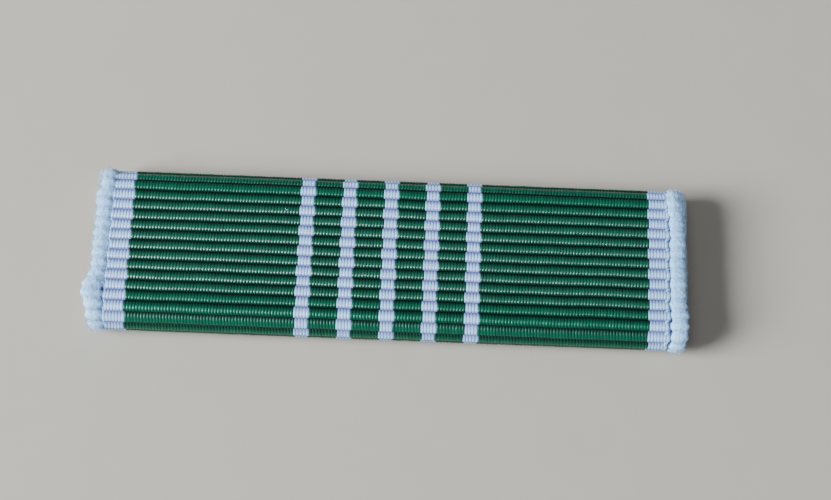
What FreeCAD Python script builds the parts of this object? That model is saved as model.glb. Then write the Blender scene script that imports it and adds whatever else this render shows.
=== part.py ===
"""A slide-on service ribbon bar, lying on its back.

A grosgrain ribbon is wrapped round a folded brass carrier and glued to it. The carrier is a
C-channel that slides along the rail of a ribbon mount. The ribbon is woven from bands of
white and green warp yarn, and one thick weft cord runs to and fro through all of them.

Millimetres. X runs along the bar, Y across it and Z out of its front face. The origin is
under the middle of the bar, on the surface that its back lies on.
"""
import FreeCAD, Part
import math
import os

import Sketcher

STRIPES = 5
TINY = 1e-6  # millimetres that count as nothing
VOLUME_SLACK = 0.001  # share of a swept cord's volume that may be off

# alias: (value, what it measures)
SIZES = {
    "bar_length": (35.0, "selvedge to selvedge, along X: the width the ribbon is woven to"),
    "bar_height": (10.0, "over the two folds, along Y"),
    "sheet_thickness": (0.4, "brass sheet of the carrier"),
    "channel_gap": (0.9, "room for the mount's rail between the carrier's front and its lips"),
    "carrier_lip": (1.7, "flat reach of each rear lip, from its fold to its free edge"),
    "lip_corner": (0.45, "radius of the corners of the lips"),
    "end_overhang": (0.4, "how far the ribbon's selvedges stand past the carrier's ends"),
    "film_thickness": (0.05, "glue film between carrier and ribbon"),
    "film_inset": (0.25, "how far the film stops short of what covers it"),
    "ribbon_thickness": (0.45, "woven ribbon, over its ribs"),
    "lip_bare": (0.3, "bare brass between the ribbon's cut end and the lip's free edge"),
    "rib_pitch": (0.636, "distance between ribs, evened out so that whole ribs fill the wrap"),
    "cord_diameter": (0.24, "weft cord inside each rib"),
    "cord_clearance": (0.01, "room between the weft cord and the warp round it"),
    "cord_cover": (0.12, "warp yarn past each turn of the weft cord, at the selvedge"),
    "selvedge_width": (0.99, "outer edge of the ribbon, where the weft turns round"),
    "white_band_width": (1.196, "white band inside each selvedge"),
    "white_stripe_width": (0.828, "each white stripe of the centre group"),
    "green_gap_width": (1.656, "green between two stripes of the centre group"),
}

# Expressions over the sheet. The bar's layers, from the channel outwards.
CARRIER_INSIDE = "Sizes.channel_gap / 2"
CARRIER_OUTSIDE = f"{CARRIER_INSIDE} + Sizes.sheet_thickness"
FILM_OUTSIDE = f"{CARRIER_OUTSIDE} + Sizes.film_thickness"
RIBBON_OUTSIDE = f"{FILM_OUTSIDE} + Sizes.ribbon_thickness"
FOLD_SPACING = f"Sizes.bar_height - 2 * ({RIBBON_OUTSIDE})"
RIBBON_LIP = "Sizes.carrier_lip - Sizes.lip_bare"
CARRIER_LENGTH = "Sizes.bar_length - 2 * Sizes.end_overhang"
GREEN_FIELD = (
    "(Sizes.bar_length - 2 * Sizes.selvedge_width - 2 * Sizes.white_band_width"
    f" - {STRIPES} * Sizes.white_stripe_width - {STRIPES - 1} * Sizes.green_gap_width) / 2"
)


def make_sheet(doc):
    sheet = doc.addObject("Spreadsheet::Sheet", "Sizes")
    for row, (alias, (value, meaning)) in enumerate(SIZES.items(), start=1):
        sheet.set(f"A{row}", alias)
        sheet.set(f"B{row}", str(value))
        sheet.setAlias(f"B{row}", alias)
        sheet.set(f"C{row}", meaning)
    doc.recompute()
    return sheet


def bar_bands():
    """(name, width expression) of each band of warp yarn, from -X to +X."""
    centre = []
    for number in range(1, STRIPES + 1):
        centre.append((f"white_stripe_{number}", "Sizes.white_stripe_width"))
        if number < STRIPES:
            centre.append((f"green_gap_{number}", "Sizes.green_gap_width"))
    edge = [
        ("selvedge", "Sizes.selvedge_width"),
        ("white_band", "Sizes.white_band_width"),
        ("green_field", GREEN_FIELD),
    ]
    left = [(f"left_{name}", width) for name, width in edge]
    right = [(f"right_{name}", width) for name, width in reversed(edge)]
    return left + centre + right


# The C-shaped section that carrier, glue and ribbon share. Its lines and arcs, in order.
(
    FRONT_OUT,
    TOP_FOLD_OUT,
    TOP_LIP_OUT,
    TOP_LIP_END,
    TOP_LIP_IN,
    TOP_FOLD_IN,
    FRONT_IN,
    LOW_FOLD_IN,
    LOW_LIP_IN,
    LOW_LIP_END,
    LOW_LIP_OUT,
    LOW_FOLD_OUT,
) = range(12)
START, END, CENTRE = 1, 2, 3
ORIGIN, UPRIGHT_AXIS = -1, -2


def draw_section(sketch, inside, outside, fold_y, fold_z, lip):
    """The section's twelve lines and arcs, closed, at their sizes before they are bound."""
    up = FreeCAD.Vector(0, 0, 1)
    quarter = math.pi / 2

    def spot(y, z):
        return FreeCAD.Vector(y, z, 0)

    def line(y1, z1, y2, z2):
        sketch.addGeometry(Part.LineSegment(spot(y1, z1), spot(y2, z2)), False)

    def fold(y, radius, first, last):
        circle = Part.Circle(spot(y, fold_z), up, radius)
        sketch.addGeometry(Part.ArcOfCircle(circle, first, last), False)

    free = fold_y - lip
    line(-fold_y, fold_z + outside, fold_y, fold_z + outside)
    fold(fold_y, outside, -quarter, quarter)
    line(fold_y, fold_z - outside, free, fold_z - outside)
    line(free, fold_z - outside, free, fold_z - inside)
    line(free, fold_z - inside, fold_y, fold_z - inside)
    fold(fold_y, inside, -quarter, quarter)
    line(fold_y, fold_z + inside, -fold_y, fold_z + inside)
    fold(-fold_y, inside, quarter, 3 * quarter)
    line(-fold_y, fold_z - inside, -free, fold_z - inside)
    line(-free, fold_z - inside, -free, fold_z - outside)
    line(-free, fold_z - outside, -fold_y, fold_z - outside)
    fold(-fold_y, outside, quarter, 3 * quarter)


def constrain_section(sketch, inside, outside, lip):
    """Closes and squares the section, then binds its sizes to the sheet's expressions."""
    add = sketch.addConstraint
    for first, first_end, second, second_end in (
        (FRONT_OUT, END, TOP_FOLD_OUT, END),
        (TOP_FOLD_OUT, START, TOP_LIP_OUT, START),
        (TOP_LIP_IN, END, TOP_FOLD_IN, START),
        (TOP_FOLD_IN, END, FRONT_IN, START),
        (FRONT_IN, END, LOW_FOLD_IN, START),
        (LOW_FOLD_IN, END, LOW_LIP_IN, START),
        (LOW_LIP_OUT, END, LOW_FOLD_OUT, END),
        (LOW_FOLD_OUT, START, FRONT_OUT, START),
    ):
        add(Sketcher.Constraint("Tangent", first, first_end, second, second_end))
    for first, second in (
        (TOP_LIP_OUT, TOP_LIP_END),
        (TOP_LIP_END, TOP_LIP_IN),
        (LOW_LIP_IN, LOW_LIP_END),
        (LOW_LIP_END, LOW_LIP_OUT),
    ):
        add(Sketcher.Constraint("Coincident", first, END, second, START))
    add(Sketcher.Constraint("Coincident", TOP_FOLD_OUT, CENTRE, TOP_FOLD_IN, CENTRE))
    add(Sketcher.Constraint("Coincident", LOW_FOLD_OUT, CENTRE, LOW_FOLD_IN, CENTRE))
    for flat in (FRONT_OUT, FRONT_IN, TOP_LIP_OUT, TOP_LIP_IN, LOW_LIP_OUT, LOW_LIP_IN):
        add(Sketcher.Constraint("Horizontal", flat))
    add(Sketcher.Constraint("Vertical", TOP_LIP_END))
    add(Sketcher.Constraint("Vertical", LOW_LIP_END))
    add(
        Sketcher.Constraint(
            "Symmetric", LOW_FOLD_OUT, CENTRE, TOP_FOLD_OUT, CENTRE, UPRIGHT_AXIS
        )
    )
    add(Sketcher.Constraint("Equal", TOP_LIP_OUT, LOW_LIP_OUT))

    def bind(name, constraint, expression):
        sketch.renameConstraint(add(constraint), name)
        sketch.setExpression(f"Constraints.{name}", expression)

    now = sketch.Geometry
    fold_centre = now[TOP_FOLD_OUT].Center
    lip_now = now[TOP_LIP_OUT].StartPoint.x - now[TOP_LIP_OUT].EndPoint.x
    bind(
        "outside_radius",
        Sketcher.Constraint("Radius", TOP_FOLD_OUT, now[TOP_FOLD_OUT].Radius),
        outside,
    )
    bind(
        "inside_radius",
        Sketcher.Constraint("Radius", TOP_FOLD_IN, now[TOP_FOLD_IN].Radius),
        inside,
    )
    bind(
        "fold_offset",
        Sketcher.Constraint("DistanceX", ORIGIN, START, TOP_FOLD_OUT, CENTRE, fold_centre.x),
        f"({FOLD_SPACING}) / 2",
    )
    bind(
        "fold_level",
        Sketcher.Constraint("DistanceY", ORIGIN, START, TOP_FOLD_OUT, CENTRE, fold_centre.y),
        RIBBON_OUTSIDE,
    )
    bind(
        "lip_length",
        Sketcher.Constraint("DistanceX", TOP_LIP_END, START, TOP_LIP_OUT, START, lip_now),
        lip,
    )


def make_wrap(doc, name, inside, outside, lip, length):
    """A body whose C-section runs along X from its own origin."""
    body = doc.addObject("PartDesign::Body", name)
    planes = [item for item in body.Origin.OriginFeatures if item.Role == "YZ_Plane"]
    sketch = body.newObject("Sketcher::SketchObject", f"{name}_section")
    sketch.AttachmentSupport = (planes[0], [""])
    sketch.MapMode = "FlatFace"
    worth = body.evalExpression
    draw_section(
        sketch,
        worth(inside),
        worth(outside),
        worth(f"({FOLD_SPACING}) / 2"),
        worth(RIBBON_OUTSIDE),
        worth(lip),
    )
    constrain_section(sketch, inside, outside, lip)
    pad = body.newObject("PartDesign::Pad", f"{name}_pad")
    pad.Profile = sketch
    pad.setExpression("Length", length)
    body.Tip = pad
    return body, pad


def make_carrier(doc):
    """The folded brass channel, with its lips' corners rounded."""
    body, pad = make_wrap(
        doc, "carrier", CARRIER_INSIDE, CARRIER_OUTSIDE, "Sizes.carrier_lip", CARRIER_LENGTH
    )
    body.setExpression(".Placement.Base.x", f"-({CARRIER_LENGTH}) / 2")
    doc.recompute()
    corners = []
    for number, edge in enumerate(pad.Shape.Edges, start=1):
        box = edge.BoundBox
        stands = box.XLength < TINY and box.YLength < TINY and len(edge.Vertexes) == 2
        if stands:
            corners.append(f"Edge{number}")
    fillet = body.newObject("PartDesign::Fillet", "carrier_lip_corners")
    fillet.Base = (pad, corners)
    fillet.setExpression("Radius", "Sizes.lip_corner")
    body.Tip = fillet
    return body


def make_film(doc):
    """The glue film on the carrier's outer face."""
    length = f"{CARRIER_LENGTH} - 2 * Sizes.film_inset"
    lip = f"{RIBBON_LIP} - Sizes.film_inset"
    body, pad = make_wrap(doc, "adhesive_film", CARRIER_OUTSIDE, FILM_OUTSIDE, lip, length)
    body.setExpression(".Placement.Base.x", f"-({length}) / 2")
    return body


class Wrap:
    """The ribbon's middle surface, unrolled: where each rib lies on its way round the bar."""

    def __init__(self, sheet):
        self.level = sheet.evalExpression(RIBBON_OUTSIDE)
        self.radius = self.level - sheet.ribbon_thickness / 2
        self.spacing = sheet.evalExpression(FOLD_SPACING)
        self.lip = sheet.evalExpression(RIBBON_LIP)
        self.fold = math.pi * self.radius
        self.length = 2 * self.lip + 2 * self.fold + self.spacing

    def point(self, travel, x):
        """The point at this distance from the ribbon's lower cut end."""
        half = self.spacing / 2
        if travel < self.lip:
            y, z = -half + self.lip - travel, -self.radius
        elif travel < self.lip + self.fold:
            turned = (travel - self.lip) / self.radius
            y = -half - self.radius * math.sin(turned)
            z = -self.radius * math.cos(turned)
        elif travel < self.lip + self.fold + self.spacing:
            y, z = travel - self.lip - self.fold - half, self.radius
        elif travel < self.length - self.lip:
            turned = (travel - self.lip - self.fold - self.spacing) / self.radius
            y = half + self.radius * math.sin(turned)
            z = self.radius * math.cos(turned)
        else:
            y, z = half - (travel - self.length + self.lip), -self.radius
        return FreeCAD.Vector(x, y, self.level + z)


def weft_path(sheet):
    """One line to and fro along every rib, joined by half circles at the selvedges."""
    wrap = Wrap(sheet)
    ribs = round(wrap.length / sheet.rib_pitch)
    pitch = wrap.length / ribs
    turn_x = sheet.bar_length / 2 - sheet.cord_cover - (sheet.cord_diameter + pitch) / 2
    edges = []
    for rib in range(ribs):
        travel = (rib + 0.5) * pitch
        side = 1 if rib % 2 == 0 else -1
        begin = wrap.point(travel, -side * turn_x)
        finish = wrap.point(travel, side * turn_x)
        edges.append(Part.LineSegment(begin, finish).toShape())
        if rib < ribs - 1:
            following = wrap.point(travel + pitch, side * turn_x)
            middle = (finish + following) * 0.5
            reach = (following - finish).Length / 2
            crown = middle + FreeCAD.Vector(side * reach, 0, 0)
            edges.append(Part.Arc(finish, crown, following).toShape())
    return Part.Wire(edges)


def sweep_round(path, radius):
    """A round cord along the path. Its volume has to be its section times its length."""
    begin = path.OrderedEdges[0]
    heading = begin.tangentAt(begin.FirstParameter)
    section = Part.Wire(Part.makeCircle(radius, begin.valueAt(begin.FirstParameter), heading))
    cord = path.makePipeShell([section], True, False)
    expected = math.pi * radius**2 * path.Length
    if abs(cord.Volume - expected) > VOLUME_SLACK * expected:
        raise RuntimeError(f"cord volume {cord.Volume:.4f}, expected {expected:.4f}")
    return cord


def make_weft(doc, sheet):
    """The weft cord, and the tunnel that the warp leaves for it."""
    path = weft_path(sheet)
    radius = sheet.cord_diameter / 2
    cord = doc.addObject("Part::Feature", "weft_cord")
    cord.Shape = sweep_round(path, radius)
    tunnel = doc.addObject("Part::Feature", "weft_tunnel")
    tunnel.Shape = sweep_round(path, radius + sheet.cord_clearance)
    return cord, tunnel


def make_bands(doc, tunnel):
    """The warp bands side by side, each starting where the last one ends."""
    bands = []
    start = "-Sizes.bar_length / 2"
    for name, width in bar_bands():
        body, pad = make_wrap(
            doc, f"{name}_warp", FILM_OUTSIDE, RIBBON_OUTSIDE, RIBBON_LIP, width
        )
        body.setExpression(".Placement.Base.x", start)
        start = f"{body.Name}.Placement.Base.x + {pad.Name}.Length"
        band = doc.addObject("Part::Cut", name)
        band.Base = body
        band.Tool = tunnel
        bands.append(band)
    return bands


def check(doc, parts):
    for item in doc.Objects:
        if "Invalid" in item.State or "Error" in item.State:
            raise RuntimeError(f"{item.Label} failed: {item.State}")
    for part in parts:
        shape = part.Shape
        if shape.isNull() or not shape.isValid() or len(shape.Solids) != 1:
            raise RuntimeError(f"{part.Label} isn't one valid solid")


def main():
    doc = FreeCAD.newDocument("ribbon_bar")
    sheet = make_sheet(doc)
    cord, tunnel = make_weft(doc, sheet)
    parts = [make_carrier(doc), make_film(doc), cord] + make_bands(doc, tunnel)
    doc.recompute()
    check(doc, parts)
    os.makedirs("parts", exist_ok=True)
    for part in parts:
        part.Shape.exportStep(f"parts/{part.Label}.step")
        print(f"{part.Label:20s} {part.Shape.Volume:9.4f} mm3")


main()
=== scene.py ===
"""Weaves the ribbon of a slide-on service ribbon bar round its brass carrier.

Metres. X runs along the bar, Y across it and Z out of its front face. The cloth is made flat
first: X across the ribbon, Y along it from its lower cut end, Z out of its right side, with
Z 0 at the middle of its thickness. It is then bent round the bar along one path.
"""
import math

import bpy
import numpy as np
from mathutils import Matrix, Vector


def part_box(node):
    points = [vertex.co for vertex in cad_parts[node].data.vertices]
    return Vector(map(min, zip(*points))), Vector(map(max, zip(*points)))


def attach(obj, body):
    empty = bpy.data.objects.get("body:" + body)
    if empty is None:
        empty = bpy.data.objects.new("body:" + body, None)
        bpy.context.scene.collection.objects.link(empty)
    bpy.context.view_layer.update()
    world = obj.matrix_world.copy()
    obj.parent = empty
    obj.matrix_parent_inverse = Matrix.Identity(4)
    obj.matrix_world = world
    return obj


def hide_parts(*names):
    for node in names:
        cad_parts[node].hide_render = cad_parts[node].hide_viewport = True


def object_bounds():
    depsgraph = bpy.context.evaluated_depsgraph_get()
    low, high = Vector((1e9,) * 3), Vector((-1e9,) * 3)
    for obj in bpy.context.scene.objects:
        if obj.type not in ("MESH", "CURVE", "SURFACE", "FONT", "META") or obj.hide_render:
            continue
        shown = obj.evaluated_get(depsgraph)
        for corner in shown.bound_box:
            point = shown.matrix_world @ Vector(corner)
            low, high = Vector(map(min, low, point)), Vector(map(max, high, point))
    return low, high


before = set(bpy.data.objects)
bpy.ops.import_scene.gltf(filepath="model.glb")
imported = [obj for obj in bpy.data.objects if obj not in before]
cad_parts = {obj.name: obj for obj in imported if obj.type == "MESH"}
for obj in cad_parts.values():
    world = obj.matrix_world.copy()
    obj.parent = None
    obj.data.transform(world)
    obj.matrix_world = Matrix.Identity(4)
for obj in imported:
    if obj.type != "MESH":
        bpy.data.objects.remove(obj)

bl_info = {
    "name": "Service Ribbon Bar",
    "version": (1, 0, 0),
    "blender": (4, 5, 0),
    "location": "3D View > Sidebar > Ribbon Bar",
    "description": "Weaves and finishes a slide-on service ribbon bar",
    "category": "Object",
}

MM = 0.001
STRIPES = 5
TINY = 1e-7

CAD_LOW, CAD_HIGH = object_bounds()
BOX = {name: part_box(name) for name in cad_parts}
LEVEL = (CAD_LOW.z + CAD_HIGH.z) / 2
OUTSIDE = CAD_HIGH.z - LEVEL
INSIDE = BOX["adhesive_film"][1].z - LEVEL
THICKNESS = OUTSIDE - INSIDE
RADIUS = (OUTSIDE + INSIDE) / 2
HALF_FRONT = CAD_HIGH.y - OUTSIDE
CUT_END = min(
    abs(v.co.y)
    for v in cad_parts["left_green_field"].data.vertices
    if v.co.z < LEVEL - INSIDE
)
FLAP = HALF_FRONT - CUT_END
WRAP_LENGTH = 2 * (FLAP + math.pi * RADIUS + HALF_FRONT)
RIBBED_LOW = BOX["left_selvedge"][1].x
RIBBED_HIGH = BOX["right_selvedge"][0].x

GREEN_BANDS = ["left_green_field", "right_green_field"]
GREEN_BANDS += [f"green_gap_{number}" for number in range(1, STRIPES)]
WHITE_BANDS = ["left_white_band", "right_white_band"]
WHITE_BANDS += [f"white_stripe_{number}" for number in range(1, STRIPES + 1)]


# ---------------------------------------------------------------- settings


def length(name, description, default):
    return bpy.props.FloatProperty(
        name=name, description=description, default=default, unit="LENGTH", precision=6
    )


def share(name, description, default):
    return bpy.props.FloatProperty(
        name=name, description=description, default=default, subtype="FACTOR", min=0, max=1
    )


def colour(name, description, default):
    return bpy.props.FloatVectorProperty(
        name=name, description=description, default=default, subtype="COLOR", size=3, min=0, max=1
    )


class WeaveSettings(bpy.types.PropertyGroup):
    """The grosgrain's threads and ribs."""

    rib_pitch: length("Rib pitch", "Distance between ribs, before it is evened out", 0.636 * MM)
    end_pitch: length("End pitch", "Distance between warp ends", 0.092 * MM)
    float_width: length("Float width", "Each warp float at its widest", 0.260 * MM)
    float_depth: length("Float depth", "Each warp float at its thickest", 0.120 * MM)
    float_overlap: length("Float overlap", "How far a float's ends pass the next rib's", 0.05 * MM)
    valley: length("Valley", "Middle of a float where it dives, from mid-thickness", -0.09 * MM)
    # painted shade: at and below this height the yarn takes its full painted shade colour
    hollow_height: length("Hollow height", "Where the yarn is darkest, from the middle", 0.06 * MM)
    lean: length("Lean", "How far each rib's crest leans towards the lower cut end", 0.17 * MM)
    cloth_depth: length("Cloth depth", "Ground cloth behind the floats", 0.17 * MM)
    waver: length("Waver", "How far ribs stray from straight", 0.035 * MM)


class SelvedgeSettings(bpy.types.PropertyGroup):
    """The thick white edges where the weft turns round."""

    knuckle_drop: share("Knuckle drop", "How far back a knuckle sits, as a share of a rib", 0.12)
    knuckle_shift: share("Knuckle shift", "How far in it sits, as a share of half the edge", 0.07)
    voxel: length("Voxel", "Grain that the edge's knuckles are merged at", 0.04 * MM)
    knuckle_height: length("Knuckle height", "Half the thickness of a knuckle", 0.245 * MM)
    fluff: length("Fluff", "Depth of the fluffy surface", 0.05 * MM)
    binding_radius: length("Binding radius", "Yarn along the edge's inner line", 0.095 * MM)
    binding_swing: length("Binding swing", "How far that yarn zigzags either way", 0.08 * MM)
    fibre_radius: length("Fibre radius", "Loose fibres on the edge", 0.007 * MM)
    fibre_length: length("Fibre length", "Loose fibres on the edge", 0.26 * MM)
    fibre_gap: length("Fibre gap", "Between the loose fibres of a row", 0.11 * MM)
    fibre_rows: bpy.props.IntProperty(
        name="Fibre rows", description="Rows of loose fibres round each edge", default=7, min=2
    )


class YarnSettings(bpy.types.PropertyGroup):
    """Colours of the yarns, and the painted shade that darkens them between the ribs."""

    white: colour("White yarn", "Bright viscose warp", (0.42, 0.68, 1.00))
    # painted shade: the white yarn's colour where it sinks between the ribs, standing in for shade
    painted_shade_white: colour("White between ribs", "White warp deep in the weave", (0.14, 0.16, 0.36))
    green: colour("Green yarn", "Dyed viscose warp", (0.0021, 0.088, 0.046))
    # painted shade: the green yarn's colour where it sinks between the ribs, standing in for shade
    painted_shade_green: colour("Green between ribs", "Green warp deep down", (0.0002, 0.006, 0.004))
    edge: colour("Edge yarn", "Softer yarn of the selvedges", (0.38, 0.68, 1.00))
    gloss: share("Roughness", "Roughness of the smooth yarns", 0.27)


class MetalSettings(bpy.types.PropertyGroup):
    """The carrier and its glue."""

    brass: colour("Brass", "Clean sheet brass", (0.72, 0.49, 0.20))
    tarnish: colour("Tarnish", "Brass where it has dulled", (0.30, 0.19, 0.085))
    glue: colour("Glue", "Dried contact glue", (0.62, 0.47, 0.22))


# place, size, power and tint of each lamp
LAMPS = {
    "window": ((-0.40, -0.11, 0.26), 0.22, 8.0, (0.84, 0.94, 1.0)),
    "ceiling": ((-0.10, -0.10, 0.60), 0.30, 1.0, (0.88, 0.94, 1.0)),
}
FLOOR_SIZE = 4.0


class StageSettings(bpy.types.PropertyGroup):
    """Floor, lights and camera."""

    floor: colour("Floor", "Plain floor, darker than the white yarns", (0.42, 0.37, 0.31))
    sky: colour("Sky", "Light from all round", (0.74, 0.82, 1.0))
    sky_strength: share("Sky strength", "Strength of the light from all round", 0.15)
    camera_target: bpy.props.FloatVectorProperty(
        name="Camera target", description="Point in the middle of the picture",
        default=(1.54 * MM, 0.69 * MM, 1.35 * MM), subtype="XYZ", unit="LENGTH", size=3,
        precision=5,
    )
    camera_distance: length("Camera distance", "From the camera to its target", 110.9 * MM)
    camera_tilt: bpy.props.FloatProperty(
        name="Camera tilt", description="Away from straight down", default=math.radians(20.81),
        subtype="ANGLE",
    )
    camera_roll: bpy.props.FloatProperty(
        name="Camera roll", description="Turn about the view", default=math.radians(2.2),
        subtype="ANGLE",
    )
    lens: bpy.props.FloatProperty(
        name="Lens", description="Focal length on a 36 mm sensor", default=80.4, unit="CAMERA"
    )


# ---------------------------------------------------------------- shader maths


class Value:
    """A number or vector inside a material, so that sums read as sums."""

    def __init__(self, finish, socket):
        self.finish, self.socket = finish, socket

    def maths(self, operation, *others):
        return self.finish.node("Math", {"operation": operation}, [self, *others])

    def __add__(self, other):
        return self.maths("ADD", other)

    def __sub__(self, other):
        return self.maths("SUBTRACT", other)

    def __rsub__(self, other):
        return self.finish.node("Math", {"operation": "SUBTRACT"}, [other, self])

    def __mul__(self, other):
        return self.maths("MULTIPLY", other)

    def __truediv__(self, other):
        return self.maths("DIVIDE", other)

    def __pow__(self, other):
        return self.maths("POWER", other)

    __radd__, __rmul__ = __add__, __mul__

    def floor(self):
        return self.maths("FLOOR")

    def size(self):
        return self.maths("ABSOLUTE")

    def clamped(self, low, high):
        return self.finish.node("Clamp", {}, [self, low, high])

    def parts(self):
        split = self.finish.node("SeparateXYZ", {}, [self])
        return [Value(self.finish, output) for output in split.socket.node.outputs]


class Finish:
    """A material: its shader, its constants and what varies over it."""

    def __init__(self, name, **constants):
        self.material = bpy.data.materials.new(name)
        self.material.use_nodes = True
        self.tree = self.material.node_tree
        self.shader = self.tree.nodes["Principled BSDF"]
        self.vary(**constants)

    def feed(self, socket, value):
        if isinstance(value, Value):
            self.tree.links.new(value.socket, socket)
        else:
            socket.default_value = (*value, 1) if socket.type == "RGBA" else value

    def node(self, kind, settings, sockets, output=0):
        """Adds a node: its settings first, then its sockets by place or by name."""
        node = self.tree.nodes.new("ShaderNode" + kind)
        for name, value in settings.items():
            setattr(node, name, value)
        named = sockets.items() if isinstance(sockets, dict) else enumerate(sockets)
        for place, value in named:
            self.feed(node.inputs[place], value)
        return Value(self, node.outputs[output])

    def mix(self, factor, first, second):
        return self.node("Mix", {"data_type": "RGBA"}, {0: factor, 6: first, 7: second}, output=2)

    def scaled(self, vector, x, y, z):
        return self.node("VectorMath", {"operation": "MULTIPLY"}, [vector, (x, y, z)])

    def noise(self, vector, size, detail=2.0):
        """Soft noise from 0 to 1, with features of about this many millimetres."""
        sockets = {"Vector": vector, "Scale": 1 / size, "Detail": detail}
        return self.node("TexNoise", {}, sockets)

    def vary(self, **sockets):
        """Feeds the shader's sockets, each named in small letters with underscores."""
        for socket, value in sockets.items():
            title = socket.replace("_", " ").title().replace("Ior", "IOR")
            self.feed(self.shader.inputs[title], value)

    def bump(self, height, distance, strength=1.0):
        sockets = {"Height": height, "Distance": distance, "Strength": strength}
        self.vary(normal=self.node("Bump", {}, sockets))

    def on_cloth(self):
        """Place on the flat cloth, in millimetres: across it and along it."""
        return self.node("UVMap", {"uv_map": "cloth"}, [])

    def height(self):
        """Height above the middle of the flat cloth, in millimetres."""
        return self.node("Attribute", {"attribute_name": "height"}, [], output=2)

    def on_metal(self):
        """Place on a solid piece, in millimetres."""
        place = self.node("TexCoord", {}, [], output=3)
        return self.scaled(place, 1 / MM, 1 / MM, 1 / MM)


# ---------------------------------------------------------------- finishes


def yarn_finish(name, base, deep, shine, weave, tone_spread, constants):
    """Smooth filament yarn. Each float has its own tone, and fine filaments along it. Its colour
    goes from deep, a painted shade, to base as it rises out of the weave, and it is glossy on
    the front face's ribs."""
    finish = Finish(name, **constants)
    place = finish.on_cloth()
    across, along, _ = place.parts()
    end = (across / (weave.end_pitch / MM)).floor()
    rib = (along / (WRAP_LENGTH / rib_count(weave) / MM)).floor()
    # sunk and proud mask the painted shade: below sunk the yarn is fully in its painted shade
    # colour
    sunk = weave.hollow_height / MM
    proud = ((finish.height() - sunk) / (THICKNESS / 2 / MM - sunk)).clamped(0.0, 1.0)
    strand = finish.node("CombineXYZ", {}, [end, rib, 0.0])
    lot = finish.node("TexWhiteNoise", {"noise_dimensions": "2D"}, {"Vector": strand})
    filaments = finish.noise(finish.scaled(place, 1.0, 0.08, 1.0), 0.03, detail=1.0)
    patches = finish.noise(place, 2.2, detail=3.0)
    tone = 1 - tone_spread * (lot * 0.6 + filaments * 0.5 + patches * 0.5 - 0.8)
    # painted shade: the colour is mixed towards deep, a painted shade, where the float sinks
    # between the ribs
    shaded = finish.node(
        "HueSaturation", {}, {"Value": tone, "Color": finish.mix(proud**2.2, deep, base)}
    )
    matt = 0.35 * (1 - proud)
    front = (HALF_FRONT / MM - (along - WRAP_LENGTH / 2 / MM).size()) / (RADIUS / MM)
    finish.vary(
        base_color=shaded,
        roughness=(shine + matt + 0.16 * (filaments - 0.5) + 0.10 * (lot - 0.5)).clamped(0.1, 0.9),
        coat_weight=proud**3 * front.clamped(0.0, 1.0),
    )
    finish.bump(filaments, 0.006 * MM, 0.6)
    return finish.material


def edge_finish(name, base, deep, weave):
    """The selvedges' fluffy yarn: matt, mottled, with a soft sheen, and painted shade between its
    turns.
    """
    finish = Finish(name, sheen_weight=0.5, sheen_roughness=0.4, specular_ior_level=0.35)
    place = finish.on_cloth()
    fluff = finish.noise(finish.scaled(place, 1.0, 0.6, 1.0), 0.10, detail=4.0)
    grime = finish.noise(place, 1.1, detail=3.0)
    tone = 1 - 0.30 * (fluff - 0.5) - 0.16 * (grime - 0.5)
    _, along, _ = place.parts()
    # painted shade: between marks the creases between the edge's turns, where the colour goes
    # towards deep, a painted shade
    turn = (along + 0.5 * (fluff - 0.5)) / (WRAP_LENGTH / rib_count(weave) / MM)
    between = (turn - turn.floor() - 0.5).size() * 2
    finish.vary(
        base_color=finish.node(
            "HueSaturation", {}, {"Value": tone, "Color": finish.mix(between**3 * 0.55, base, deep)}
        ),
        roughness=(0.62 + 0.25 * (fluff - 0.5)).clamped(0.3, 0.95),
    )
    finish.bump(fluff, 0.03 * MM, 0.7)
    return finish.material


def brass_finish(settings):
    """Rolled brass sheet: drawn grain along the bar, dulled in clouds, rubbed in the channel."""
    finish = Finish("rolled_brass")
    place = finish.on_metal()
    grain = finish.noise(finish.scaled(place, 0.05, 1.0, 1.0), 0.06, detail=3.0)
    clouds = finish.noise(place, 1.6, detail=4.0)
    spots = finish.noise(place, 0.25, detail=2.0)
    dull = ((clouds - 0.38) * 2 + (spots - 0.5) * 0.5).clamped(0.0, 1.0)
    rubbed = ((grain - 0.58) * 6).clamped(0.0, 1.0)
    aged = finish.mix(dull * 0.7, tuple(settings.brass), tuple(settings.tarnish))
    finish.vary(
        base_color=finish.mix(rubbed * 0.5, aged, tuple(settings.brass)),
        metallic=1 - 0.15 * dull,
        roughness=(0.26 + 0.22 * dull - 0.08 * rubbed + 0.1 * (grain - 0.5)).clamped(0.1, 0.8),
    )
    finish.bump(grain + spots * 0.4, 0.004 * MM, 0.5)
    return finish.material


def glue_finish(settings):
    """Dried contact glue: amber, uneven, half glossy."""
    finish = Finish("dried_glue", specular_ior_level=0.5, coat_weight=0.2)
    place = finish.on_metal()
    lumps = finish.noise(place, 0.35, detail=3.0)
    pale = tuple(min(1.0, 1.35 * part) for part in settings.glue)
    finish.vary(
        base_color=finish.mix(lumps, tuple(settings.glue), pale),
        roughness=(0.3 + 0.3 * lumps).clamped(0.2, 0.8),
    )
    finish.bump(lumps, 0.02 * MM, 0.6)
    return finish.material


def weft_finish(settings):
    """Matt cotton cord, twisted."""
    finish = Finish("weft_cotton", sheen_weight=0.3, sheen_roughness=0.5)
    place = finish.on_metal()
    twist = finish.node(
        "TexWave", {"wave_type": "BANDS", "bands_direction": "DIAGONAL"},
        {"Vector": place, "Scale": 1.6, "Distortion": 1.5},
    )
    fluff = finish.noise(place, 0.07, detail=3.0)
    tone = 0.92 + 0.1 * twist - 0.1 * fluff
    finish.vary(
        base_color=finish.node("HueSaturation", {}, {"Value": tone, "Color": tuple(settings.edge)}),
        roughness=(0.7 + 0.15 * fluff).clamped(0.4, 0.95),
    )
    finish.bump(twist + fluff, 0.02 * MM, 0.6)
    return finish.material


FINISHES = {}


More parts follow.
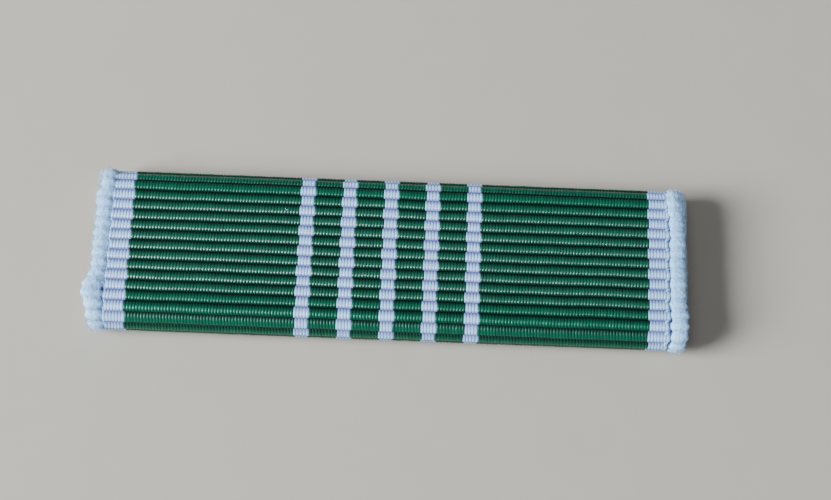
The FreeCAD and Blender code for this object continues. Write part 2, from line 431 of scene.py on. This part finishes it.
def finishes():
    """The finishes, made once and kept by name."""
    scene = bpy.context.scene
    yarns, weave, metals = scene.ribbon_yarns, scene.ribbon_weave, scene.ribbon_metals
    if not FINISHES:
        satin = {
            "specular_ior_level": 0.3, "coat_ior": 1.7, "coat_roughness": 0.29,
        }
        dyed = {**satin, "specular_tint": (0.45, 1.0, 0.80)}
        green, white, edge = tuple(yarns.green), tuple(yarns.white), tuple(yarns.edge)
        painted_shade_green, painted_shade_white = tuple(yarns.painted_shade_green), tuple(yarns.painted_shade_white)
        FINISHES["green_yarn"] = yarn_finish(
            "green_viscose", green, painted_shade_green, yarns.gloss, weave, 0.5, dyed
        )
        FINISHES["white_yarn"] = yarn_finish(
            "white_viscose", white, painted_shade_white, yarns.gloss, weave, 0.12, satin
        )
        FINISHES["selvedge_yarn"] = edge_finish("fluffy_white_yarn", edge, painted_shade_white, weave)
        FINISHES["brass_sheet"] = brass_finish(metals)
        FINISHES["glue"] = glue_finish(metals)
        FINISHES["weft_yarn"] = weft_finish(yarns)
    return FINISHES


# ---------------------------------------------------------------- bench work


def clear_selection():
    bpy.ops.object.select_all(action="DESELECT")


def active(piece):
    """Makes this piece the only one that operators work on."""
    clear_selection()
    piece.select_set(True)
    bpy.context.view_layer.objects.active = piece


def edit(piece):
    active(piece)
    bpy.ops.object.mode_set(mode="EDIT")


def leave_edit():
    bpy.ops.object.mode_set(mode="OBJECT")


def named(name):
    piece = bpy.context.object
    piece.name = name
    piece.data.name = name
    return piece


def settle():
    """Puts the active piece's place, turn and size into its mesh."""
    bpy.ops.object.transform_apply(location=True, rotation=True, scale=True)


def pick_vertices(piece, test):
    """In edit mode, selects only the vertices whose place passes the test."""
    bpy.ops.mesh.select_all(action="DESELECT")
    leave_edit()
    for vertex in piece.data.vertices:
        vertex.select = test(vertex.co)
    bpy.ops.object.mode_set(mode="EDIT")


def finish_modifier(piece, name, kind, **settings):
    """Adds a modifier with these settings and applies it."""
    modifier = piece.modifiers.new(name, kind)
    for setting, value in settings.items():
        setattr(modifier, setting, value)
    active(piece)
    bpy.ops.object.modifier_apply(modifier=name)


def repeat(piece, count, x=0.0, y=0.0, merge=False):
    if count > 1:
        finish_modifier(
            piece, "repeat", "ARRAY", count=count, use_relative_offset=False,
            use_constant_offset=True, constant_offset_displace=(x, y, 0),
            use_merge_vertices=merge, merge_threshold=2 * TINY,
        )


def stray(piece, axis, size, depth, name="stray"):
    """Pushes the surface about along one axis, in soft noise of this size."""
    cloud = bpy.data.textures.new(name, "CLOUDS")
    cloud.noise_scale = size
    cloud.noise_depth = 1
    finish_modifier(
        piece, name, "DISPLACE", texture=cloud, texture_coords="LOCAL", direction=axis,
        strength=depth, mid_level=0.5,
    )


def copy_of(piece, name, x=0.0, y=0.0):
    """A copy with a mesh of its own, moved by this much."""
    active(piece)
    bpy.ops.object.duplicate()
    copy = named(name)
    copy.location = (x, y, 0)
    settle()
    return copy


def joined(pieces, name):
    active(pieces[0])
    for piece in pieces:
        piece.select_set(True)
    bpy.ops.object.join()
    return named(name)


def discard(piece):
    active(piece)
    bpy.ops.object.delete()


def smooth(piece):
    active(piece)
    bpy.ops.object.shade_smooth()


# ---------------------------------------------------------------- the cloth's path


def make_path():
    """The ribbon's middle line, from its lower cut end over the front to its upper one."""
    round_reach = 4 / 3 * math.tan(math.pi / 8) * RADIUS
    front_reach = 2 * HALF_FRONT / 3
    flap_reach = FLAP / 3
    # y, z from the bar's mid level, the heading (y, z), and the handles' reach before and after
    corners = [
        (-CUT_END, -RADIUS, -1, 0, flap_reach, flap_reach),
        (-HALF_FRONT, -RADIUS, -1, 0, flap_reach, round_reach),
        (-HALF_FRONT - RADIUS, 0, 0, 1, round_reach, round_reach),
        (-HALF_FRONT, RADIUS, 1, 0, round_reach, front_reach),
        (HALF_FRONT, RADIUS, 1, 0, front_reach, round_reach),
        (HALF_FRONT + RADIUS, 0, 0, -1, round_reach, round_reach),
        (HALF_FRONT, -RADIUS, -1, 0, round_reach, flap_reach),
        (CUT_END, -RADIUS, -1, 0, flap_reach, flap_reach),
    ]
    curve = bpy.data.curves.new("wrap_path", "CURVE")
    curve.dimensions = "3D"
    curve.resolution_u = 48
    curve.twist_mode = "MINIMUM"
    line = curve.splines.new("BEZIER")
    line.bezier_points.add(len(corners) - 1)
    for point, (y, z, along_y, along_z, before, after) in zip(line.bezier_points, corners):
        place = Vector((0, y, LEVEL + z))
        heading = Vector((0, along_y, along_z))
        point.handle_left_type = point.handle_right_type = "FREE"
        point.co = place
        point.handle_left = place - heading * before
        point.handle_right = place + heading * after
        point.tilt = -math.pi / 2
    path = bpy.data.objects.new("wrap_path", curve)
    bpy.context.scene.collection.objects.link(path)
    bpy.context.view_layer.update()
    return path


def mark_cloth(piece):
    """Keeps each point's place on the flat cloth, in millimetres, for the yarns' finishes."""
    mesh = piece.data
    if "height" in mesh.attributes:
        return
    while mesh.uv_layers:
        mesh.uv_layers.remove(mesh.uv_layers[0])
    layer = mesh.uv_layers.new(name="cloth")
    places = np.zeros(len(mesh.vertices) * 3, np.float32)
    mesh.vertices.foreach_get("co", places)
    corners = np.zeros(len(mesh.loops), np.int32)
    mesh.loops.foreach_get("vertex_index", corners)
    places = places.reshape(-1, 3) / MM
    layer.data.foreach_set("uv", places[corners, :2].ravel())
    height = mesh.attributes.new("height", "FLOAT", "POINT")
    height.data.foreach_set("value", np.ascontiguousarray(places[:, 2]))


def wrap(piece, path):
    """Bends a flat piece round the bar, presses flat whatever hangs below the bar's underside,
    and lets it ride with the bar."""
    mark_cloth(piece)
    finish_modifier(piece, "wrap", "CURVE", object=path, deform_axis="POS_Y")
    edit(piece)
    pick_vertices(piece, lambda place: place.z < 0)
    bpy.ops.transform.resize(value=(1, 1, 0.02), center_override=(0, 0, 0))
    leave_edit()
    smooth(piece)
    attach(piece, "root")


def path_object():
    return bpy.data.objects.get("wrap_path") or make_path()


def rib_count(weave):
    return round(WRAP_LENGTH / weave.rib_pitch)


# ---------------------------------------------------------------- pieces


def make_float(weave):
    """One warp float: a yarn that rises over one rib and dives at both of its ends."""
    sides, steps = 8, 7
    pitch = WRAP_LENGTH / rib_count(weave)
    reach = pitch / 2 + weave.float_overlap
    crest = THICKNESS / 2 - weave.float_depth / 2

    def station(step):
        """Place along the float, height, and width and depth as shares of the widest."""
        turned = math.pi * step / steps
        arch = math.sin(turned)
        along = -math.cos(turned) * reach - weave.lean * arch
        rise = weave.valley + (crest - weave.valley) * arch
        return along, rise, 0.66 + 0.34 * arch**0.5, 0.60 + 0.40 * arch**0.5

    y, z, wide, deep = station(0)
    bpy.ops.mesh.primitive_circle_add(
        vertices=sides, radius=0.5, fill_type="NGON", location=(0, y, z),
        rotation=(math.pi / 2, 0, 0),
    )
    piece = named("float")
    piece.scale = (weave.float_width * wide, weave.float_depth * deep, 1)
    settle()
    edit(piece)
    bpy.ops.mesh.select_all(action="SELECT")
    for step in range(1, steps + 1):
        next_y, next_z, next_wide, next_deep = station(step)
        bpy.ops.mesh.extrude_region_move(
            TRANSFORM_OT_translate={"value": (0, next_y - y, next_z - z)}
        )
        bpy.ops.transform.resize(
            value=(next_wide / wide, 1, next_deep / deep), center_override=(0, next_y, next_z)
        )
        y, z, wide, deep = next_y, next_z, next_wide, next_deep
    bpy.ops.mesh.select_all(action="SELECT")
    bpy.ops.mesh.normals_make_consistent(inside=False)
    leave_edit()
    return piece


def weave_band(model, band, weave):
    """All the floats of one band, on every rib, still flat. Ribs take turns between two sets."""
    low, high = BOX[band]
    ribs = rib_count(weave)
    rib_step = WRAP_LENGTH / ribs
    ends = round((RIBBED_HIGH - RIBBED_LOW) / weave.end_pitch)
    end_step = (RIBBED_HIGH - RIBBED_LOW) / ends
    first = round((low.x - RIBBED_LOW) / end_step)
    last = round((high.x - RIBBED_LOW) / end_step)
    sets = []
    for start_rib in (0, 1):
        start_end = first + (first + start_rib) % 2
        row = copy_of(
            model, f"{band}_set_{start_rib}",
            x=RIBBED_LOW + (start_end + 0.5) * end_step, y=(start_rib + 0.5) * rib_step,
        )
        repeat(row, len(range(start_end, last, 2)), x=2 * end_step)
        repeat(row, len(range(start_rib, ribs, 2)), y=2 * rib_step)
        sets.append(row)
    return joined(sets, f"{band}_floats")


def loosen(piece, weave):
    """The small unevenness of a real weave, the same on both sides of a band's edge."""
    stray(piece, "Y", 2.6 * MM, 2 * weave.waver, "rib_waver")
    stray(piece, "X", 0.30 * MM, weave.waver, "end_waver")
    stray(piece, "Z", 0.45 * MM, weave.waver, "height_waver")


class RIBBONBAR_OT_ground(bpy.types.Operator):
    """Weaves the ground cloth that the floats stand on"""

    bl_idname = "ribbonbar.ground"
    bl_label = "Ground cloth"

    def execute(self, context):
        weave = context.scene.ribbon_weave
        ribs = rib_count(weave)
        rib_step = WRAP_LENGTH / ribs
        steps = 8
        tuck = 0.25 * MM
        width = CAD_HIGH.x - CAD_LOW.x - 2 * tuck
        clear_selection()
        bpy.ops.mesh.primitive_grid_add(
            x_subdivisions=1, y_subdivisions=steps, size=1, location=(0, rib_step / 2, 0)
        )
        piece = named("ribbon_ground")
        piece.scale = (width, rib_step, 1)
        settle()
        edit(piece)
        for band in ["left_selvedge", "right_selvedge"] + GREEN_BANDS + WHITE_BANDS:
            for corner in BOX[band]:
                if abs(corner.x) < width / 2 - TINY:
                    bpy.ops.mesh.select_all(action="SELECT")
                    bpy.ops.mesh.bisect(plane_co=(corner.x, 0, 0), plane_no=(1, 0, 0))
        top = THICKNESS / 2 - 0.8 * weave.float_depth
        for step in range(steps + 1):
            y = step * rib_step / steps
            rise = weave.valley + (top - weave.valley) * math.sin(math.pi * step / steps)
            pick_vertices(piece, lambda spot: abs(spot.y - y) < rib_step / steps / 3)
            bpy.ops.transform.translate(value=(0, 0, rise))
        leave_edit()
        repeat(piece, ribs, y=rib_step, merge=True)
        finish_modifier(piece, "weld", "WELD", merge_threshold=10 * TINY)
        stray(piece, "Y", 2.6 * MM, 2 * weave.waver, "rib_waver")
        finish_modifier(piece, "cloth", "SOLIDIFY", thickness=weave.cloth_depth, offset=-1)
        made = finishes()
        for finish in ("green_yarn", "white_yarn"):
            piece.data.materials.append(made[finish])
        for face in piece.data.polygons:
            face.material_index = int(not on_green(face.center.x))
        wrap(piece, path_object())
        return {"FINISHED"}


def on_front(y):
    """Distance along the cloth of the point on the bar's front face at this Y."""
    return FLAP + math.pi * RADIUS + HALF_FRONT + y


def on_green(x):
    return any(BOX[band][0].x < x < BOX[band][1].x for band in GREEN_BANDS)


class RIBBONBAR_OT_bands(bpy.types.Operator):
    """Weaves the floats of the green fields, the stripes and the white bands"""

    bl_idname = "ribbonbar.bands"
    bl_label = "Warp floats"

    def execute(self, context):
        weave = context.scene.ribbon_weave
        made = finishes()
        clear_selection()
        model = make_float(weave)
        for band in GREEN_BANDS + WHITE_BANDS:
            piece = weave_band(model, band, weave)
            mark_cloth(piece)
            loosen(piece, weave)
            finish = "green_yarn" if band in GREEN_BANDS else "white_yarn"
            piece.data.materials.append(made[finish])
            wrap(piece, path_object())
            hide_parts(band)
        discard(model)
        return {"FINISHED"}


# For each edge: where along Y, how far out it is pushed and how wide, in millimetres
EDGE_BULGES = {
    -1: [(-2.8, 0.34, 1.0), (-3.6, 0.14, 1.3), (2.9, 0.13, 0.6), (4.4, -0.16, 1.4)],
    1: [(-3.9, 0.18, 1.6), (4.2, -0.20, 1.6), (-1.6, 0.05, 1.0), (1.2, 0.04, 0.9)],
}


def bulge(piece, centre, move, radius):
    """Pulls the surface round one point, fading out over this radius, as fingers would."""

    def near(spot):
        return (spot - Vector(centre)).length < radius / 4

    edit(piece)
    pick_vertices(piece, near)
    bpy.ops.transform.translate(
        value=move, use_proportional_edit=True, proportional_edit_falloff="SMOOTH",
        proportional_size=radius, use_proportional_connected=False,
    )
    leave_edit()


class RIBBONBAR_OT_selvedges(bpy.types.Operator):
    """Builds the thick white edges, where the weft turns round"""

    bl_idname = "ribbonbar.selvedges"
    bl_label = "Selvedges"

    def execute(self, context):
        weave, settings = context.scene.ribbon_weave, context.scene.ribbon_selvedges
        made = finishes()
        ribs = rib_count(weave)
        rib_step = WRAP_LENGTH / ribs
        for name, side in (("left_selvedge", -1), ("right_selvedge", 1)):
            low, high = BOX[name]
            middle, half = (low.x + high.x) / 2, (high.x - low.x) / 2
            clear_selection()
            bpy.ops.mesh.primitive_uv_sphere_add(
                segments=20, ring_count=12, radius=1,
                location=(
                    middle - side * settings.knuckle_shift * half,
                    (0.5 - settings.knuckle_drop) * rib_step, 0,
                ),
                scale=(half * 1.10, rib_step * 0.53, settings.knuckle_height * 1.04),
            )
            knuckles = named("knuckles")
            settle()
            repeat(knuckles, ribs, y=rib_step)
            bpy.ops.mesh.primitive_cylinder_add(
                vertices=24, radius=1, depth=1, location=(middle, WRAP_LENGTH / 2, 0),
                rotation=(math.pi / 2, 0, 0),
                scale=(half * 0.86, settings.knuckle_height * 0.70, WRAP_LENGTH - rib_step / 2),
            )
            core = named("core")
            settle()
            piece = joined([knuckles, core], f"{name}_edge")
            finish_modifier(piece, "merge", "REMESH", mode="VOXEL", voxel_size=settings.voxel)
            finish_modifier(piece, "soften", "SMOOTH", factor=0.5, iterations=2)
            edge_x = high.x if side > 0 else low.x
            for place, push, reach in EDGE_BULGES[side]:
                spot = (edge_x - side * half * 0.3, on_front(place * MM), 0)
                bulge(piece, spot, (side * push * MM, 0, 0.4 * abs(push) * MM), reach * MM)
            stray(piece, "X", 1.7 * MM, 2.4 * settings.fluff, "edge_waver")
            stray(piece, "NORMAL", 0.28 * MM, settings.fluff, "edge_lumps")
            stray(piece, "NORMAL", 0.09 * MM, 0.6 * settings.fluff, "edge_fluff")
            piece.data.materials.append(made["selvedge_yarn"])
            wrap(piece, path_object())
            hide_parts(name)
            inner = high.x if side < 0 else low.x
            bind_edge(f"{name}_binding", inner, side, rib_step, ribs, settings, made)
            fluff_edge(f"{name}_fluff", middle, half, side, settings, made)
        return {"FINISHED"}


# For each edge: share of the binding's radius, share of its swing, how far in it lies, in mm
EDGE_BINDINGS = {-1: (0.55, 0.6, 0.0), 1: (0.95, 1.7, 0.12)}


def bind_edge(name, inner, side, rib_step, ribs, settings, made):
    """The yarn that zigzags down the edge's inner line, once to and fro for each rib."""
    thick, wide, inward = EDGE_BINDINGS[side]
    curve = bpy.data.curves.new(name, "CURVE")
    curve.dimensions = "3D"
    curve.bevel_depth = thick * settings.binding_radius
    curve.bevel_resolution = 1
    curve.use_fill_caps = True
    line = curve.splines.new("NURBS")
    turns = 4 * ribs
    line.points.add(turns)
    for turn, point in enumerate(line.points):
        swing = math.cos(turn * math.pi / 2) * wide * settings.binding_swing - inward * MM
        rise = settings.knuckle_height * (0.28 - 0.12 * math.cos(turn * math.pi / 2))
        x = inner + side * swing
        y = (turn / 4) * rib_step * (1 - rib_step / WRAP_LENGTH / 4)
        point.co = (x, y + rib_step / 8, rise, 1)
    line.order_u = 3
    line.use_endpoint_u = True
    curve.resolution_u = 3
    piece = bpy.data.objects.new(name, curve)
    bpy.context.scene.collection.objects.link(piece)
    active(piece)
    bpy.ops.object.convert(target="MESH")
    piece = named(name)
    stray(piece, "X", 0.5 * MM, settings.fluff, "binding_waver")
    stray(piece, "Z", 0.4 * MM, settings.fluff, "binding_rise")
    piece.data.materials.append(made["selvedge_yarn"])
    wrap(piece, path_object())


def make_fibre(settings):
    """One loose fibre, a thin hooked thread that starts at the origin and rises along Z."""
    steps = 4
    bpy.ops.mesh.primitive_circle_add(vertices=3, radius=settings.fibre_radius, fill_type="NGON")
    fibre = named("fibre")
    edit(fibre)
    bpy.ops.mesh.select_all(action="SELECT")
    for step in range(steps):
        hook = 0.5 * settings.fibre_length * (step / steps) ** 2
        bpy.ops.mesh.extrude_region_move(
            TRANSFORM_OT_translate={"value": (0, hook, settings.fibre_length / steps)}
        )
    bpy.ops.mesh.select_all(action="SELECT")
    bpy.ops.mesh.normals_make_consistent(inside=False)
    leave_edit()
    return fibre


THREAD_X, THREAD_Y = -6.3 * MM, 2.5 * MM


def fluff_edge(name, middle, half, side, settings, made):
    """Rows of loose fibres round the edge's outer side, scattered by noise. The left edge's
    have one stray thread more, which lies on the green field."""
    rows = settings.fibre_rows
    fibre = make_fibre(settings)
    made_rows = []
    for row in range(rows):
        lean = math.radians(-20 + 140 * row / (rows - 1))
        strand = copy_of(fibre, f"{name}_{row}")
        strand.rotation_euler = (0, side * lean, 0)
        strand.location = (
            middle + side * 0.72 * half * math.sin(lean),
            0.02 * MM + (row % 2) * settings.fibre_gap / 2,
            0.62 * settings.knuckle_height * math.cos(lean),
        )
        active(strand)
        settle()
        repeat(strand, int(WRAP_LENGTH / settings.fibre_gap), y=settings.fibre_gap)
        made_rows.append(strand)
    if side < 0:
        thread = copy_of(fibre, "loose_thread")
        thread.rotation_euler = (math.radians(75), 0, math.radians(50))
        thread.location = (THREAD_X, on_front(THREAD_Y), THICKNESS / 2 + 0.02 * MM)
        active(thread)
        settle()
        made_rows.append(thread)
    discard(fibre)
    piece = joined(made_rows, name)
    for axis, size in (("X", 0.21), ("Y", 0.17), ("Z", 0.19)):
        stray(piece, axis, size * MM, 0.8 * settings.fibre_length, f"fibre_{axis}")
    piece.data.materials.append(made["selvedge_yarn"])
    wrap(piece, path_object())


class RIBBONBAR_OT_carrier(bpy.types.Operator):
    """Finishes the brass carrier, the glue and the weft cord"""

    bl_idname = "ribbonbar.carrier"
    bl_label = "Carrier"

    def execute(self, context):
        made = finishes()
        kept = {"carrier": "brass_sheet", "adhesive_film": "glue", "weft_cord": "weft_yarn"}
        for node, finish in kept.items():
            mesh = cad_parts[node].data
            mesh.materials.clear()
            mesh.materials.append(made[finish])
        return {"FINISHED"}


class RIBBONBAR_OT_stage(bpy.types.Operator):
    """Sets the floor, the lights and the camera"""

    bl_idname = "ribbonbar.stage"
    bl_label = "Stage"

    def execute(self, context):
        stage = context.scene.ribbon_stage
        clear_selection()
        bpy.ops.mesh.primitive_plane_add(size=FLOOR_SIZE)
        floor = named("floor")
        paper = Finish("pale_paper", roughness=0.85)
        fibres = paper.noise(paper.on_metal(), 3.0, detail=4.0)
        deep = tuple(0.95 * part for part in stage.floor)
        paper.vary(base_color=paper.mix(fibres, tuple(stage.floor), deep))
        floor.data.materials.append(paper.material)
        for name, lamp in LAMPS.items():
            area_light(name, *lamp)
        world = bpy.data.worlds.new("room")
        world.use_nodes = True
        sky = world.node_tree.nodes["Background"]
        sky.inputs["Color"].default_value = (*stage.sky, 1)
        sky.inputs["Strength"].default_value = stage.sky_strength
        context.scene.world = world
        camera_data = bpy.data.cameras.new("camera")
        camera_data.lens = stage.lens
        camera_data.clip_start = MM
        camera = bpy.data.objects.new("camera", camera_data)
        context.scene.collection.objects.link(camera)
        roll = Matrix.Rotation(stage.camera_roll, 4, "Z")
        turn = Matrix.Rotation(stage.camera_tilt, 4, "X") @ roll
        back = turn @ Vector((0, 0, stage.camera_distance))
        camera.matrix_world = Matrix.Translation(Vector(stage.camera_target) + back) @ turn
        context.scene.camera = camera
        return {"FINISHED"}


def area_light(name, place, size, power, tint):
    """A soft square light that faces the bar."""
    lamp = bpy.data.lights.new(name, "AREA")
    lamp.size, lamp.energy, lamp.color = size, power, tint
    light = bpy.data.objects.new(name, lamp)
    light.location = place
    light.rotation_euler = (-Vector(place)).to_track_quat("-Z", "Y").to_euler()
    bpy.context.scene.collection.objects.link(light)


class RIBBONBAR_PT_bench(bpy.types.Panel):
    """The steps that make the bar, in order"""

    bl_idname = "RIBBONBAR_PT_bench"
    bl_label = "Ribbon Bar"
    bl_space_type = "VIEW_3D"
    bl_region_type = "UI"
    bl_category = "Ribbon Bar"

    def draw(self, context):
        for step in STEPS:
            self.layout.operator(step.bl_idname)
        for group in SETTINGS:
            box = self.layout.box()
            for name in SETTINGS[group].__annotations__:
                box.prop(getattr(context.scene, group), name)


SETTINGS = {
    "ribbon_weave": WeaveSettings,
    "ribbon_selvedges": SelvedgeSettings,
    "ribbon_yarns": YarnSettings,
    "ribbon_metals": MetalSettings,
    "ribbon_stage": StageSettings,
}
STEPS = [
    RIBBONBAR_OT_ground,
    RIBBONBAR_OT_bands,
    RIBBONBAR_OT_selvedges,
    RIBBONBAR_OT_carrier,
    RIBBONBAR_OT_stage,
]


def register():
    for group, settings in SETTINGS.items():
        bpy.utils.register_class(settings)
        setattr(bpy.types.Scene, group, bpy.props.PointerProperty(type=settings))
    for item in STEPS + [RIBBONBAR_PT_bench]:
        bpy.utils.register_class(item)


def unregister():
    for item in [RIBBONBAR_PT_bench] + STEPS:
        bpy.utils.unregister_class(item)
    for group, settings in SETTINGS.items():
        delattr(bpy.types.Scene, group)
        bpy.utils.unregister_class(settings)


def main():
    register()
    bpy.ops.ribbonbar.ground()
    bpy.ops.ribbonbar.bands()
    bpy.ops.ribbonbar.selvedges()
    bpy.ops.ribbonbar.carrier()
    bpy.ops.ribbonbar.stage()
    discard(bpy.data.objects["wrap_path"])


if __name__ == "__main__":
    main()
